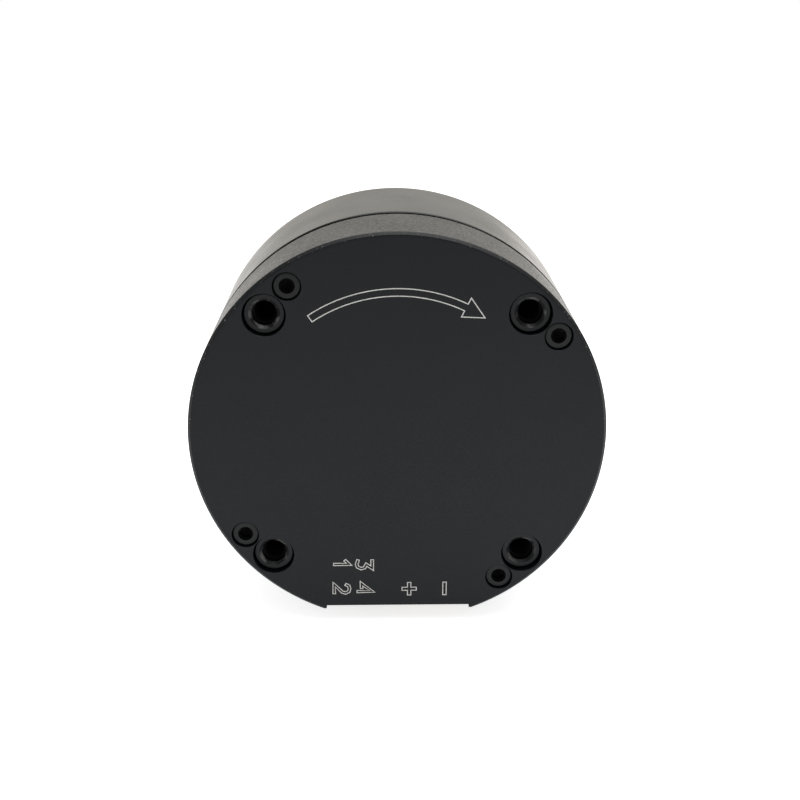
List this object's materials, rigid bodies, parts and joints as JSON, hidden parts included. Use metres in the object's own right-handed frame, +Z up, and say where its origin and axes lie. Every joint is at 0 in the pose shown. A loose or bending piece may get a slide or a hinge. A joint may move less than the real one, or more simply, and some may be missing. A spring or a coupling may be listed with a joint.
{
  "type": "direct drive servo motor",
  "caption": "Round direct drive servo motor: a fixed rear cover with tapped mounting posts and a connector notch, and a turning bell as its output.",
  "frame": {"origin": "centre of the rear face of the fixed cover, on the motor's axis", "axes": "+Y along the motor's axis from the rear face to the output face, +X to the right for someone looking at the rear face, +Z up with the connector notch at the bottom"},
  "size_m": [0.07, 0.0395, 0.07],
  "materials": {
    "cover_anodised": "satin black anodised aluminium, finely brushed, sparse light nicks on the rim",
    "base_anodised": "satin black anodised aluminium",
    "bell_anodised": "smooth satin black anodised aluminium",
    "black_steel": "blackened steel",
    "lamination": "electrical steel",
    "insulator": "moulded polymer",
    "copper": "enamelled copper wire",
    "bearing_steel": "ground and polished",
    "shield_steel": "pressed sheet",
    "cage_polymer": "moulded polymer",
    "shaft_steel": "turned",
    "brass": "turned",
    "nickel": "nickel plated",
    "board": "green solder mask on glass fibre",
    "chip": "black moulded package",
    "ferrite": "moulded ferrite",
    "capacitor": "drawn aluminium can",
    "pad": "soft silicone",
    "gold": "gold plated",
    "power_plastic": "moulded nylon",
    "signal_plastic": "moulded nylon"
  },
  "bodies": {
    "stator": {"rear_cover": "cover_anodised", "motor_base": "base_anodised", "cover_screws": "black_steel", "stator_core": "lamination", "rear_slot_insulator": "insulator", "front_slot_insulator": "insulator", "stator_coils": "copper", "phase_leads": "copper", "rear_bearing_outer_race": "bearing_steel", "front_bearing_outer_race": "bearing_steel", "rear_bearing_shields": "shield_steel", "front_bearing_shields": "shield_steel", "drive_board": "board", "board_screws": "black_steel", "power_transistors": "chip", "thermal_pad": "pad", "shunt_resistors": "chip", "controller_chip": "chip", "gate_driver_chip": "chip", "line_driver_chips": "chip", "crystal": "nickel", "encoder_chip": "chip", "inductor": "ferrite", "bulk_capacitors": "capacitor", "power_pins": "gold", "power_connector": "power_plastic", "signal_pins": "gold", "signal_connector": "signal_plastic"},
    "rotor": {"rotor_bell": "bell_anodised", "back_iron_ring": "lamination", "rotor_magnets": "nickel", "shaft": "shaft_steel", "shaft_clip": "black_steel", "preload_shim": "shaft_steel", "magnet_holder": "brass", "encoder_magnet": "nickel", "rotor_screws": "black_steel", "rear_bearing_inner_race": "bearing_steel", "front_bearing_inner_race": "bearing_steel"},
    "rear_cage": {"rear_bearing_cage": "cage_polymer", "rear_bearing_balls": "bearing_steel"},
    "front_cage": {"front_bearing_cage": "cage_polymer", "front_bearing_balls": "bearing_steel"}
  },
  "joints": [
    {"name": "rotor_spin", "type": "hinge", "parent": "stator", "child": "rotor", "pos_m": [0, 0.026, 0], "axis": [0, 1, 0], "continuous": true},
    {"name": "rear_cage_spin", "type": "hinge", "parent": "stator", "child": "rear_cage", "pos_m": [0, 0.0162, 0], "axis": [0, 1, 0], "continuous": true},
    {"name": "front_cage_spin", "type": "hinge", "parent": "stator", "child": "front_cage", "pos_m": [0, 0.0311, 0], "axis": [0, 1, 0], "continuous": true}
  ],
  "couplings": [
    {"joint": "rear_cage_spin", "follows": "rotor_spin", "ratio": 0.4395},
    {"joint": "front_cage_spin", "follows": "rotor_spin", "ratio": 0.4395}
  ]
}
